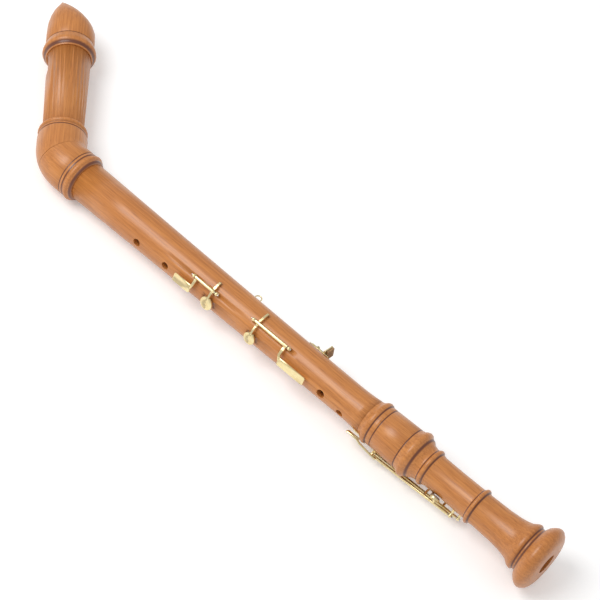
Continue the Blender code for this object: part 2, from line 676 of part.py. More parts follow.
def build_foot_joint():
    socket = FOOT_TENON_RADIUS + SOCKET_CLEARANCE
    depth = FOOT_TENON_LENGTH + JOINT_GAP
    profile = foot_profile()
    profile += [(FOOT_LENGTH, BELL_BORE)]
    profile += [(depth, FOOT_BORE)]
    profile += [(depth, socket)]
    profile += [(0.0, socket)]
    joint = turned("foot_joint", profile, pear_wood(), SIDES, Matrix.Translation((FOOT_START, 0.0, 0.0)))
    for x, turn in ((LOW_SHARP_PAD_X, LOW_SHARP_PAD_TURN), (LOW_F_PAD_X, LOW_F_PAD_TURN)):
        cut(joint, drill(FOOT_START + x, turn, LOW_HOLE_DIAMETER, FOOT_STEM_RADIUS + 5.0 * MM))
        cut(joint, seat_cutter(FOOT_START + x, turn, FOOT_STEM_RADIUS - SEAT_DEPTH,
                               LOW_CUP_RADIUS + 1.0 * MM))
    for turn, shift in ((LOW_SHARP_HINGE_TURN, 0.0), (LOW_F_HINGE_TURN, LOW_F_POST_SHIFT)):
        start, far = low_hinge(turn, shift)
        along = (far - start).normalized()
        notch_from = start + along * (FOOT_BIG_BEAD_X - LOW_POST_A - 9.0 * MM)
        notch_to = start + along * (FOOT_BIG_BEAD_X - LOW_POST_A + 9.0 * MM)
        notch_radius = HINGE_TUBE_RADIUS + 0.6 * MM
        cut(joint, rod_solid("notch", notch_from, notch_to, notch_radius, pear_wood(), 16))
        for point in (start, far):
            surface = foot_radius(point.x)
            hole = drill(point.x, turn, 2.0 * (POST_RADIUS + JOINT_GAP), surface + 5.0 * MM,
                         surface - POST_DEPTH - JOINT_GAP)
            cut(joint, hole)
    finish(joint, Matrix.Translation((FOOT_START, 0.0, 0.0)))


# Head --------------------------------------------------------------------------------
def build_head():
    top = HEAD_START + HEAD_LENGTH
    profile = list(reversed(tenon(HEAD_START, HEAD_TENON_LENGTH, HEAD_TENON_RADIUS, -1.0)))
    profile += [(HEAD_START, HEAD_LOW_RADIUS), (top, HEAD_HIGH_RADIUS)]
    profile += tenon(top, CAP_TENON_LENGTH, CAP_TENON_RADIUS, 1.0)
    profile += [(top + CAP_TENON_LENGTH, HEAD_BORE)]
    profile += [(HEAD_START - HEAD_TENON_LENGTH, HEAD_BORE)]
    home = head_frame(0.0)
    tube = turned("head_tube", profile, pear_wood(), SIDES)

    # The head is cut about its own axis, X up the tube and Y to the back.
    window_top = top - WINDOW_BELOW_CAP
    window_low = window_top - WINDOW_HEIGHT
    labium = HEAD_BORE + LABIUM_THICKNESS
    outside = HEAD_HIGH_RADIUS + 4.0 * MM
    reach = top + CAP_TENON_LENGTH + 2.0 * MM
    windway_size = (reach - window_top + 0.6 * MM, WINDWAY_HEIGHT + 1.5 * MM, WINDOW_WIDTH)
    windway_center = ((reach + window_top - 0.6 * MM) / 2.0,
                      -(HEAD_BORE + WINDWAY_HEIGHT - windway_size[1] / 2.0), 0.0)
    cut(tube, block_solid("windway", windway_size, Matrix.Translation(windway_center), pear_wood()))
    window_size = (WINDOW_HEIGHT, outside - HEAD_BORE + 3.0 * MM, WINDOW_WIDTH)
    window_center = (window_top - WINDOW_HEIGHT / 2.0, -(outside + HEAD_BORE - 3.0 * MM) / 2.0, 0.0)
    cut(tube, block_solid("window", window_size, Matrix.Translation(window_center), pear_wood()))
    section = [
        (window_low + 0.5 * MM, -labium),
        (window_low + 0.5 * MM, -outside),
        (window_low - RAMP_LENGTH, -outside),
        (window_low - RAMP_LENGTH, -(HEAD_HIGH_RADIUS - 0.4 * MM)),
    ]
    rings = []
    for z in (-WINDOW_WIDTH / 2.0, WINDOW_WIDTH / 2.0):
        rings.append([Vector((x, y, z)) for x, y in section])
    cut(tube, loft("ramp", rings, pear_wood(), ends=True))
    tube.data.transform(home)
    finish(tube, head_frame(HEAD_START))

    ring = cork_ring("head_tenon_cork", HEAD_START, HEAD_TENON_LENGTH, HEAD_TENON_RADIUS, -1.0, home)
    finish(ring, head_frame(HEAD_START))
    ring = cork_ring("cap_tenon_cork", top, CAP_TENON_LENGTH, CAP_TENON_RADIUS, 1.0, home)
    finish(ring, head_frame(top))

    radius = HEAD_BORE - BLOCK_CLEARANCE
    profile = [(window_top, 0.0), (window_top, radius)]
    profile += [(top + CAP_TENON_LENGTH, radius), (top + CAP_TENON_LENGTH, 0.0)]
    piece = turned("block", profile, cedar(), 24, home)
    finish(piece, head_frame(window_top))


def oval(height, front, back, half_width, power, sides=SIDES):
    """A ring across the head, round at power 2 and squarer above it."""
    middle = (front + back) / 2.0
    half_depth = (back - front) / 2.0
    points = []
    for i in range(sides):
        angle = math.tau * i / sides
        c = math.cos(angle)
        s = math.sin(angle)
        y = middle + half_depth * math.copysign(abs(c) ** (2.0 / power), c)
        z = half_width * math.copysign(abs(s) ** (2.0 / power), s)
        points.append(Vector((height, y, z)))
    return points


def build_cap():
    base = CAP_START
    body = CAP_BODY_RADIUS
    ring = CAP_RING_RADIUS
    socket = CAP_TENON_RADIUS + SOCKET_CLEARANCE
    lower = [
        (0.0, HEAD_HIGH_RADIUS + 1.0 * MM),
        (1.2 * MM, HEAD_HIGH_RADIUS + 2.1 * MM),
        (2.6 * MM, HEAD_HIGH_RADIUS + 1.8 * MM),
        (CAP_RING_HEIGHT - 3.4 * MM, ring - 2.4 * MM),
        (CAP_RING_HEIGHT - 1.6 * MM, ring - 0.7 * MM),
        (CAP_RING_HEIGHT, ring),
        (CAP_RING_HEIGHT + 3.0 * MM, ring - 0.4 * MM),
        (CAP_RING_HEIGHT + 6.4 * MM, ring - 1.3 * MM),
        (CAP_GROOVE_HEIGHT - 2.2 * MM, body + 0.5 * MM),
    ]
    lower += groove(CAP_GROOVE_HEIGHT, body)
    lower += [(CAP_STRAIGHT_HEIGHT, body)]
    rings = []
    for height, radius in lower:
        rings.append(oval(base + height, -radius, radius, radius, 2.0))
    # Above the straight part the front leans in to the mouth edge and the back is cut away.
    rise = CAP_HEIGHT - CAP_STRAIGHT_HEIGHT
    tip_front = BEAK_TIP_OFFSET - BEAK_TIP_THICKNESS / 2.0
    tip_back = BEAK_TIP_OFFSET + BEAK_TIP_THICKNESS / 2.0
    for part in (0.16, 0.32, 0.48, 0.62, 0.75, 0.86, 0.94, 0.985, 1.0):
        front = -body + (tip_front + body) * part ** 2.4
        back = body + (tip_back - body) * (1.0 - (1.0 - part ** 1.5) ** 0.82)
        half_width = body + (BEAK_TIP_WIDTH / 2.0 - body) * part ** 2.0
        rings.append(oval(base + CAP_STRAIGHT_HEIGHT + rise * part, front, back, half_width,
                          2.0 + 0.5 * part))
    chamber_floor = base + CAP_TENON_LENGTH + 2.5 * MM
    chamber_top = base + CAP_TENON_LENGTH + BLOCK_TRAVEL + 1.5 * MM
    inside = [(chamber_top, CHAMBER_RADIUS), (chamber_floor, CHAMBER_RADIUS), (chamber_floor, socket)]
    inside += [(base, socket)]
    hollow = [oval(height, -radius, radius, radius, 2.0) for height, radius in inside]
    cap = loft("cap", hollow + rings, pear_wood(), ends=True)
    slot_from = chamber_top - 2.0 * MM
    slot_to = base + CAP_HEIGHT + 3.0 * MM
    slot_size = (slot_to - slot_from, MOUTH_SLOT_HEIGHT, MOUTH_SLOT_WIDTH)
    slot_center = Matrix.Translation(((slot_from + slot_to) / 2.0, BEAK_TIP_OFFSET, 0.0))
    cut(cap, block_solid("mouth slot", slot_size, slot_center, pear_wood()))
    cap.data.transform(head_frame(0.0))
    finish(cap, head_frame(CAP_START))


# Keys --------------------------------------------------------------------------------
def post(name, axis_point, turn, surface):
    """A post with a ball head, set into the wood, drilled for the hinge rod."""
    out = outward(turn)
    height = (axis_point - around(axis_point.x, turn, 0.0)).length
    foot = surface - POST_DEPTH
    ball = POST_BALL_RADIUS
    profile = [(foot, 0.0), (foot, POST_RADIUS), (surface + 0.3 * MM, POST_RADIUS)]
    profile += [(surface + 0.5 * MM, POST_RADIUS + 0.7 * MM)]
    profile += [(surface + 1.1 * MM, POST_RADIUS + 0.7 * MM), (surface + 1.5 * MM, POST_RADIUS)]
    start = math.acos(POST_RADIUS / ball)
    for i in range(5):
        angle = -start + (math.pi / 2.0 + start) * i / 5.0
        profile.append((height + ball * math.sin(angle), ball * math.cos(angle)))
    profile.append((height + ball, 0.0))
    place = frame(around(axis_point.x, turn, 0.0), out, Vector((1.0, 0.0, 0.0)))
    return turned(name, profile, brass(), FINE_SIDES, place)


def cup_and_pad(name, place, radius):
    """A pad cup, open below, and the pad in it, both turned about the hole's axis."""
    outer = radius
    inner = radius - CUP_WALL
    skirt = PAD_THICKNESS * 0.55
    top = PAD_THICKNESS + PAD_GAP + CUP_ROOF
    profile = [(top - CUP_ROOF, 0.0), (top - CUP_ROOF, inner), (top - CUP_ROOF - skirt, inner)]
    profile += [(top - CUP_ROOF - skirt, outer), (top - 0.4 * MM, outer), (top, outer - 0.7 * MM)]
    profile += [(top + 0.3 * MM, 0.0)]
    cup = turned(name + " cup", profile, brass(), 20, place)
    pad_radius = inner - JOINT_GAP
    profile = [(0.0, 0.0), (0.0, pad_radius - 0.4 * MM), (0.4 * MM, pad_radius)]
    profile += [(PAD_THICKNESS, pad_radius), (PAD_THICKNESS, 0.0)]
    pad = turned(name + "_pad", profile, pad_leather(), 20, place)
    return cup, pad


def plate(name, x, turn, radius, length, width):
    """A finger plate lying along the body, its top face at a radius."""
    place = frame(around(x, turn, radius - SHEET / 2.0), Vector((1.0, 0.0, 0.0)), outward(turn))
    bm = bmesh.new()
    bmesh.ops.create_cube(bm, size=1.0)
    bmesh.ops.scale(bm, vec=(length, width, SHEET), verts=bm.verts)
    upright = [e for e in bm.edges if abs((e.verts[0].co - e.verts[1].co).z) > SHEET / 2.0]
    bmesh.ops.bevel(bm, geom=upright, offset=1.6 * MM, segments=3, affect="EDGES", profile=0.5)
    bmesh.ops.transform(bm, matrix=place, verts=bm.verts)
    return make_object(name, bm, brass())


def hinge_axis(start, end, pad_point):
    """The hinge's direction, signed so that a positive turn closes the pad."""
    along = (end - start).normalized()
    inward = -Vector((0.0, pad_point.y, pad_point.z)).normalized()
    if along.cross(pad_point - start).dot(inward) < 0.0:
        along = -along
    return along


def build_key(name, start, end, turn, surfaces, pad_place, pad_turn, cup_radius, bars, plates,
              cork_place, lift):
    """Posts, rod, spring, lever, pad and cork of one key, which stands open.

    The lever is shaped with its pad on the seat and then swung open by its lift.
    """
    along = (end - start).normalized()
    for letter, point, surface in zip("ab", (start, end), surfaces):
        piece = post(f"{name}_post_{letter}", point, turn, surface)
        hole_from = point - along * POST_BALL_RADIUS * 2.0
        hole_to = point + along * POST_BALL_RADIUS * 2.0
        hole = rod_solid("hole", hole_from, hole_to, ROD_RADIUS + JOINT_GAP / 2.0, brass())
        cut(piece, hole)
        finish(piece, frame(point, along, outward(turn)))
    rod = rod_solid(f"{name}_rod", start - along * (POST_BALL_RADIUS + 0.6 * MM),
                    end + along * (POST_BALL_RADIUS + 0.6 * MM), ROD_RADIUS, steel())
    finish(rod, frame((start + end) / 2.0, along, outward(turn)))

    margin = POST_BALL_RADIUS + HINGE_END_GAP
    tube = rod_solid(f"{name}_lever", start + along * margin, end - along * margin,
                     HINGE_TUBE_RADIUS, brass())
    cup, pad = cup_and_pad(name, pad_place, cup_radius)
    pad_point = pad_place.translation
    pieces = [cup] + plates
    for points, normals, width in bars:
        pieces.append(strap("bar", points, normals, width, SHEET, brass()))
    unite(tube, *pieces)
    bore = rod_solid("bore", start, end, HINGE_BORE, brass())
    cut(tube, bore)

    spring_turn = outward(turn)
    side = along.cross(spring_turn)
    reach = (end - start).length
    spring_start = start - spring_turn * (HINGE_TUBE_RADIUS + 1.0 * MM) + along * (POST_RADIUS + 0.4 * MM)
    spring_end = spring_start + along * min(reach * 0.55, 22.0 * MM)
    spring = rod_solid(f"{name}_spring", spring_start, spring_end, SPRING_RADIUS, steel(), 6)
    finish(spring, frame(spring_start, along, spring_turn))

    axis = hinge_axis(start, end, pad_point)
    arm = (pad_point - start) - along * (pad_point - start).dot(along)
    angle = lift / arm.length
    home = frame(start, axis, spring_turn)
    swing = Matrix.Translation(start) @ Matrix.Rotation(-angle, 4, axis) @ Matrix.Translation(-start)
    for piece in (tube, pad):
        finish(piece, home)
        piece.matrix_world = swing @ home
    # The stop cork meets the wood with the key open, so it is shaped there.
    bm_cork = rod_solid(f"{name}_stop_cork", cork_place[0], cork_place[1], STOP_CORK_RADIUS, cork(), 12)
    finish(bm_cork, swing @ home)
    return tube, swing, angle


def arc_bar(x_from, turn_from, radius_from, x_to, turn_to, radius_to, steps=4):
    """Points and outward directions of a bar that runs round the body."""
    points = []
    normals = []
    for i in range(steps + 1):
        part = i / steps
        turn = turn_from + (turn_to - turn_from) * part
        points.append(around(x_from + (x_to - x_from) * part, turn,
                             radius_from + (radius_to - radius_from) * part))
        normals.append(outward(turn))
    return points, normals


def body_key(name, post_a, post_b, hinge_turn, hinge_height, pad_x, cup_radius, touch_x,
             touch_turn, touch_length, touch_width, touch_end, tail_turn, lift):
    """A key on the middle joint: its plate and pad lie on the line of finger holes."""
    surface_a = body_radius(post_a)
    surface_b = body_radius(post_b)
    start = around(post_a, hinge_turn, surface_a + hinge_height)
    end = around(post_b, hinge_turn, surface_b + hinge_height)
    hinge_radius = (surface_a + surface_b) / 2.0 + hinge_height
    seat = body_radius(pad_x) - SEAT_DEPTH
    pad_place = frame(around(pad_x, 0.0, seat + PAD_GAP), outward(0.0), Vector((1.0, 0.0, 0.0)))
    cup_top = seat + 2.0 * PAD_GAP + PAD_THICKNESS + CUP_ROOF

    # The lever is shaped closed; every height on it is given there.
    touch_radius = body_radius(touch_x) + 3.7 * MM
    margin = POST_BALL_RADIUS + HINGE_END_GAP + ARM_WIDTH / 2.0 + 0.4 * MM
    if touch_end > 0.0:
        arm_x = post_a + margin
        plate_edge = touch_x + touch_length / 2.0 - ARM_WIDTH / 2.0
    else:
        arm_x = post_b - margin
        plate_edge = touch_x - touch_length / 2.0 + ARM_WIDTH / 2.0
    sign = 1.0 if hinge_turn < touch_turn else -1.0
    bars = []
    mid_turn = hinge_turn + (touch_turn - hinge_turn) * 0.62
    points, normals = arc_bar(arm_x, hinge_turn, hinge_radius, arm_x, mid_turn, touch_radius)
    more, more_normals = arc_bar(arm_x, mid_turn, touch_radius, plate_edge, touch_turn,
                                 touch_radius - SHEET * 0.45)
    bars.append((points + more[1:], normals + more_normals[1:], ARM_WIDTH))
    pad_arm_x = min(max(pad_x, post_a + margin), post_b - margin)
    points, normals = arc_bar(pad_arm_x, hinge_turn, hinge_radius, pad_x, -0.1, cup_top + 0.3 * MM)
    end_points, end_normals = arc_bar(pad_x, -0.1, cup_top + 0.3 * MM, pad_x, 0.12, cup_top - 0.1 * MM, 2)
    bars.append((points + end_points[1:], normals + end_normals[1:], ARM_WIDTH * 0.8))
    arm = 2.0 * hinge_radius * math.sin(abs(hinge_turn) / 2.0)
    angle = lift / arm
    tail_run = abs(tail_turn - hinge_turn) * hinge_radius
    tail_radius = body_radius(pad_x) + STOP_GAP + tail_run * angle
    points, normals = arc_bar(pad_arm_x, hinge_turn, hinge_radius, pad_x, tail_turn, tail_radius)
    bars.append((points, normals, ARM_WIDTH * 0.8))
    touch = plate("touch", touch_x, touch_turn, touch_radius, touch_length, touch_width)

    wood = body_radius(pad_x)
    inner_turn = tail_turn - sign * 0.03
    cork_from = around(pad_x, inner_turn, wood + JOINT_GAP + 0.1 * MM)
    cork_to = around(pad_x, inner_turn, wood + STOP_GAP - SHEET / 2.0 - JOINT_GAP)
    return build_key(name, start, end, hinge_turn, (surface_a, surface_b), pad_place, 0.0,
                     cup_radius, bars, [touch], (cork_from, cork_to), lift)


STOP_GAP = 3.4 * MM


def build_body_keys():
    body_key("key_3", KEY_3_POST_A, KEY_3_POST_B, KEY_3_HINGE_TURN, KEY_3_HINGE_HEIGHT,
             KEY_3_PAD_X, KEY_3_CUP_RADIUS, KEY_3_TOUCH_X, KEY_3_TOUCH_TURN,
             KEY_3_TOUCH_LENGTH, KEY_3_TOUCH_WIDTH, 1.0, KEY_3_TAIL_TURN, KEY_3_LIFT)
    body_key("key_4", KEY_4_POST_A, KEY_4_POST_B, KEY_4_HINGE_TURN, KEY_4_HINGE_HEIGHT,
             KEY_4_PAD_X, KEY_4_CUP_RADIUS, KEY_4_TOUCH_X, KEY_4_TOUCH_TURN,
             KEY_4_TOUCH_LENGTH, KEY_4_TOUCH_WIDTH, -1.0, KEY_4_TAIL_TURN, KEY_4_LIFT)


def low_key(name, hinge_turn, shift, pad_x, pad_turn, touch_turn, side):
    """A key on the foot joint, its plate above the end of the middle joint."""
    start, end = low_hinge(hinge_turn, shift)
    along = (end - start).normalized()
    surfaces = (foot_radius(start.x), foot_radius(end.x))
    x = FOOT_START + pad_x
    seat = FOOT_STEM_RADIUS - SEAT_DEPTH
    pad_place = frame(around(x, pad_turn, seat + PAD_GAP), outward(pad_turn), Vector((1.0, 0.0, 0.0)))
    cup_top = seat + 2.0 * PAD_GAP + PAD_THICKNESS + CUP_ROOF

    def hinge_radius(at):
        part = (at - start.x) / (FOOT_START + LOW_POST_B - start.x)
        return LOW_HINGE_RADIUS_A + (LOW_HINGE_RADIUS_B - LOW_HINGE_RADIUS_A) * part

    bars = []
    points, normals = arc_bar(x, hinge_turn, hinge_radius(x), x, pad_turn - side * 0.12, cup_top + 0.3 * MM)
    more, more_normals = arc_bar(x, pad_turn - side * 0.12, cup_top + 0.3 * MM, x, pad_turn + side * 0.12,
                                 cup_top - 0.1 * MM, 2)
    bars.append((points + more[1:], normals + more_normals[1:], ARM_WIDTH * 0.8))
    arm_turn = hinge_turn + side * (POST_BALL_RADIUS + ARM_WIDTH / 2.0 + 0.7 * MM) / LOW_HINGE_RADIUS_A
    joint_x = start.x + POST_BALL_RADIUS + HINGE_END_GAP + ARM_WIDTH
    touch_x = FOOT_START + LOW_TOUCH_X
    edge = touch_x + LOW_TOUCH_LENGTH / 2.0 - 2.0 * MM
    bead_x = FOOT_START + 6.0 * MM
    points = [around(joint_x, hinge_turn, hinge_radius(joint_x))]
    points.append(around(joint_x, arm_turn, hinge_radius(joint_x)))
    normals = [outward(hinge_turn), outward(arm_turn)]
    bars.append((points, normals, ARM_WIDTH))
    run = [
        (joint_x + ARM_WIDTH / 2.0, arm_turn, hinge_radius(joint_x)),
        (joint_x - 2.0 * MM, arm_turn, hinge_radius(joint_x)),
        (bead_x + 2.0 * MM, arm_turn, LOW_ARM_RADIUS),
        (edge + 1.0 * MM, (arm_turn + touch_turn) / 2.0, LOW_TOUCH_RADIUS + 0.7 * MM),
        (edge - 3.0 * MM, touch_turn, LOW_TOUCH_RADIUS - SHEET * 0.45),
    ]
    points = [around(*spot) for spot in run]
    normals = [outward(spot[1]) for spot in run]
    bars.append((points, normals, ARM_WIDTH))
    touch = plate("touch", touch_x, touch_turn, LOW_TOUCH_RADIUS, LOW_TOUCH_LENGTH, LOW_TOUCH_WIDTH)

    # A short tail across the hinge stops the open key against the stem.
    pad_arm = 2.0 * hinge_radius(x) * math.sin(abs(pad_turn - hinge_turn) / 2.0)
    pad_arm = math.hypot(pad_arm, hinge_radius(x) - seat)
    wood = FOOT_STEM_RADIUS
    tail_turn = hinge_turn - side * 0.33
    tail_x = x - side * 0.0 - 14.0 * MM
    run_length = 0.33 * hinge_radius(tail_x)
    tail_radius = wood + STOP_GAP + LOW_LIFT / pad_arm * run_length
    points, normals = arc_bar(tail_x, hinge_turn, hinge_radius(tail_x), tail_x, tail_turn, tail_radius, 3)
    bars.append((points, normals, ARM_WIDTH * 0.8))
    cork_from = around(tail_x, tail_turn, wood + JOINT_GAP + 0.2 * MM)
    cork_to = around(tail_x, tail_turn, wood + STOP_GAP - SHEET / 2.0 - JOINT_GAP)
    return build_key(name, start, end, hinge_turn, surfaces, pad_place, pad_turn, LOW_CUP_RADIUS,
                     bars, [touch], (cork_from, cork_to), LOW_LIFT)


def build_low_keys():
    low_key("low_sharp", LOW_SHARP_HINGE_TURN, 0.0, LOW_SHARP_PAD_X, LOW_SHARP_PAD_TURN,
            LOW_SHARP_TOUCH_TURN, -1.0)
    low_key("low_f", LOW_F_HINGE_TURN, LOW_F_POST_SHIFT, LOW_F_PAD_X, LOW_F_PAD_TURN,
            LOW_F_TOUCH_TURN, 1.0)


# Strap ring and thumb rest -----------------------------------------------------------
def build_strap_ring():
    wood = body_radius(STRAP_RING_X)
    out = outward(STRAP_RING_TURN)
    place = frame(around(STRAP_RING_X, STRAP_RING_TURN, 0.0), out, Vector((1.0, 0.0, 0.0)))
    neck = wood + STRAP_NECK
    profile = [(wood - POST_DEPTH, 0.0), (wood - POST_DEPTH, POST_RADIUS)]
    profile += [(wood + 0.3 * MM, POST_RADIUS), (wood + 0.3 * MM, POST_RADIUS + 1.3 * MM)]
    profile += [(wood + 1.3 * MM, POST_RADIUS + 1.1 * MM), (wood + 1.7 * MM, POST_RADIUS)]
    profile += [(neck, POST_RADIUS * 0.9), (neck, 0.0)]
    stem = turned("strap_ring", profile, brass(), FINE_SIDES, place)
    center = around(STRAP_RING_X, STRAP_RING_TURN, neck + STRAP_RING_RADIUS)
    side = Vector((1.0, 0.0, 0.0)).cross(out)
    rings = []
    count = 24
    for i in range(count):
        angle = math.tau * i / count
        radial = out * math.cos(angle) + Vector((1.0, 0.0, 0.0)) * math.sin(angle)
        ring = []
        for j in range(8):
            turn = math.tau * j / 8
            offset = radial * (STRAP_WIRE_RADIUS * math.cos(turn)) + side * (STRAP_WIRE_RADIUS * math.sin(turn))
            ring.append(center + radial * STRAP_RING_RADIUS + offset)
        rings.append(ring)
    unite(stem, loft("loop", rings, brass()))
    finish(stem, place)


def build_thumb_rest():
    out = outward(THUMB_TURN)
    along = Vector((1.0, 0.0, 0.0))
    wood = body_radius(THUMB_PLATE_X - THUMB_PLATE_LENGTH / 2.0)
    plate_low = wood + JOINT_GAP
    plate_top = plate_low + 1.1 * MM
    place = frame(around(THUMB_PLATE_X, THUMB_TURN, (plate_low + plate_top) / 2.0), along, out)
    base = block_solid("thumb_rest_plate", (THUMB_PLATE_LENGTH, THUMB_PLATE_WIDTH, plate_top - plate_low),
                       place, brass(), 0.25 * MM)
    reach = plate_top + 2.0 * MM
    cut(base, drill(THUMB_SCREW_X, THUMB_TURN, 2.0 * (THUMB_SCREW_RADIUS + JOINT_GAP), reach, wood - 1.0 * MM))
    finish(base, place)

    slide_low = plate_top + JOINT_GAP
    slide_top = slide_low + 1.2 * MM
    hook_x = THUMB_HOOK_X
    slide_from = THUMB_SCREW_X - THUMB_TRAVEL - 3.0 * MM
    slide_size = (hook_x - slide_from, THUMB_PLATE_WIDTH - 2.0 * MM, slide_top - slide_low)
    center = around((hook_x + slide_from) / 2.0, THUMB_TURN, (slide_low + slide_top) / 2.0)
    hook = block_solid("thumb_hook", slide_size, frame(center, along, out), brass(), 0.25 * MM)
    curve = []
    for part in (0.0, 0.25, 0.5, 0.75, 1.0):
        lean = 1.6 * MM * math.sin(part * math.pi / 2.0)
        height = slide_low + 0.1 * MM + THUMB_HOOK_HEIGHT * part
        curve.append(around(hook_x - 0.6 * MM + lean, THUMB_TURN, height))
    normals = [along] * len(curve)
    unite(hook, strap("upright", curve, normals, THUMB_HOOK_WIDTH, SHEET, brass()))
    slot_size = (2.0 * THUMB_TRAVEL + 2.0 * (THUMB_SCREW_RADIUS + JOINT_GAP),
                 2.0 * (THUMB_SCREW_RADIUS + JOINT_GAP), 6.0 * MM)
    slot_center = around(THUMB_SCREW_X, THUMB_TURN, slide_top)
    cut(hook, block_solid("slot", slot_size, frame(slot_center, along, out), brass()))
    finish(hook, frame(center, along, out))

    face = []
    for part in (0.22, 0.42, 0.62, 0.82, 0.98):
        lean = 1.6 * MM * math.sin(part * math.pi / 2.0)
        height = slide_low + 0.1 * MM + THUMB_HOOK_HEIGHT * part
        shift = SHEET / 2.0 + THUMB_CORK / 2.0 + JOINT_GAP
        face.append(around(hook_x - 0.6 * MM + lean + shift, THUMB_TURN, height))
    facing = strap("thumb_hook_cork", face, [along] * len(face), THUMB_HOOK_WIDTH - 1.0 * MM,
                   THUMB_CORK, cork())
    finish(facing, frame(center, along, out))

    head_low = slide_top + JOINT_GAP
    place = frame(around(THUMB_SCREW_X, THUMB_TURN, 0.0), out, along)
    profile = [(wood - POST_DEPTH, 0.0), (wood - POST_DEPTH, THUMB_SCREW_RADIUS)]
    profile += [(head_low, THUMB_SCREW_RADIUS), (head_low, THUMB_KNOB_RADIUS + 0.5 * MM)]
    profile += [(head_low + 0.7 * MM, THUMB_KNOB_RADIUS + 0.5 * MM), (head_low + 0.9 * MM, THUMB_KNOB_RADIUS)]
    profile += [(head_low + THUMB_KNOB_HEIGHT - 0.6 * MM, THUMB_KNOB_RADIUS)]
    profile += [(head_low + THUMB_KNOB_HEIGHT, THUMB_KNOB_RADIUS - 0.7 * MM)]
    profile += [(head_low + THUMB_KNOB_HEIGHT, 0.0)]
    screw = turned("thumb_screw", profile, brass(), FINE_SIDES, place)
    finish(screw, place)


# Lying down --------------------------------------------------------------------------
def table_normal():
    """The up direction for which the bell, the knee's rim and the cap's ring all touch."""
    head_x = HEAD_AXIS * (CAP_START + CAP_RING_HEIGHT)
    rims = [
        (Vector((FOOT_START + FOOT_LENGTH - BELL_CREST_FROM_END, 0.0, 0.0)), Vector((1, 0, 0)), BELL_RADIUS),
        (Vector((LOWER_ARM - 7.4 * MM, 0.0, 0.0)), Vector((1, 0, 0)), LOWER_RIM_RADIUS),
        (head_x, HEAD_AXIS, CAP_RING_RADIUS),
    ]
    up = Vector((0.0, 0.0, 1.0))
    for _ in range(12):
        rows = []
        drops = []
        for center, axis, radius in rims:
            rows.append([center.x, center.y, -1.0])
            drop = radius * math.sqrt(1.0 - axis.dot(up) ** 2)
            drops.append(drop - center.z * up.z)
        nx, ny, height = np.linalg.solve(np.array(rows), np.array(drops))
        up = Vector((nx, ny, math.sqrt(1.0 - nx * nx - ny * ny)))
    return up


def lay_down():
    """Turns the whole instrument onto its right side, its box centred over the origin."""
    up = table_normal()
    x_axis = (Vector((1.0, 0.0, 0.0)) - up * up.x).normalized()
    y_axis = up.cross(x_axis)
    turn = Matrix((x_axis, y_axis, up)).to_4x4()
    pieces = [obj for obj in bpy.context.scene.objects if obj.type == "MESH"]
    corners = []
    for obj in pieces:
        obj.matrix_world = turn @ obj.matrix_world
        corners += [obj.matrix_world @ vertex.co for vertex in obj.data.vertices]
    low = Vector([min(corner[i] for corner in corners) for i in range(3)])
    high = Vector([max(corner[i] for corner in corners) for i in range(3)])
    shift = Matrix.Translation((-(low.x + high.x) / 2.0, -(low.y + high.y) / 2.0, -low.z))
    for obj in pieces:
        obj.matrix_world = shift @ obj.matrix_world


def main():
    for obj in list(bpy.data.objects):
        bpy.data.objects.remove(obj, do_unlink=True)
    build_knee()
    build_middle_joint()
    build_foot_joint()
    build_head()
    build_cap()
    build_body_keys()
    build_low_keys()
    build_strap_ring()
    build_thumb_rest()
    lay_down()


main()
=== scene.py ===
"""Looks of the bass recorder: oiled pear wood with painted shade in its grooves, satin brass keys, cork and steel.
"""

import json
import math

import bpy
from mathutils import Matrix, Vector
from mathutils.geometry import intersect_line_line


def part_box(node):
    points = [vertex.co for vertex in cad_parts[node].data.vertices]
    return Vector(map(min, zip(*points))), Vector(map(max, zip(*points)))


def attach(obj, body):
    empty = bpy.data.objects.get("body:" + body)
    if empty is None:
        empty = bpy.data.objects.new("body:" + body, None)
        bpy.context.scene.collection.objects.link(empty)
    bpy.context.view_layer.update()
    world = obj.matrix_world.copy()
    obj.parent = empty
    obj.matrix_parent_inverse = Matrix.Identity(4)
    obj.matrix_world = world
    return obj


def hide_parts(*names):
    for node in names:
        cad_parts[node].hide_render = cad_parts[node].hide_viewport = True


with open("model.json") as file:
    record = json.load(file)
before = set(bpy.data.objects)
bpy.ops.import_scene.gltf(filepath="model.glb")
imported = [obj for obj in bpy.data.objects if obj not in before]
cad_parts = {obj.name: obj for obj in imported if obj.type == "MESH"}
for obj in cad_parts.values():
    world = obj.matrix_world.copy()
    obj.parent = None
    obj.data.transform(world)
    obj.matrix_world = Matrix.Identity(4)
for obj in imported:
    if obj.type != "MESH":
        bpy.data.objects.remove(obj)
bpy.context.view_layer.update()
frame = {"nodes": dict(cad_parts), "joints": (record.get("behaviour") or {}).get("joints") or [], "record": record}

# The camera's place and directions, and its lens and sensor in millimetres
CAMERA_PLACE = Vector((0.7062, -1.1064, 1.5721))
CAMERA_AHEAD = Vector((-0.3269, 0.5491, -0.7692))
CAMERA_UP = Vector((-0.6028, 0.5057, 0.6172))
CAMERA_LENS = 108.0
CAMERA_SENSOR = 36.0

# Rings of painted shade along the grooves, as (distance along the bore from the knee's corner, half width) in
# metres
KNEE_SHADED_GROOVES = ((0.0281, 0.0010), (0.0322, 0.0012), (0.0425, 0.0022))
UPPER_KNEE_SHADED_GROOVES = ((0.0320, 0.0010), (0.0360, 0.0012))
CAP_SHADED_GROOVES = ((0.1652, 0.0028), (0.1820, 0.0010))
FOOT_SHADED_GROOVES = (
    (0.4935, 0.0010), (0.5002, 0.0009), (0.5340, 0.0010), (0.5505, 0.0020), (0.5622, 0.0009),
    (0.5686, 0.0012), (0.6265, 0.0008), (0.6324, 0.0012), (0.6975, 0.0012), (0.7012, 0.0020),
)
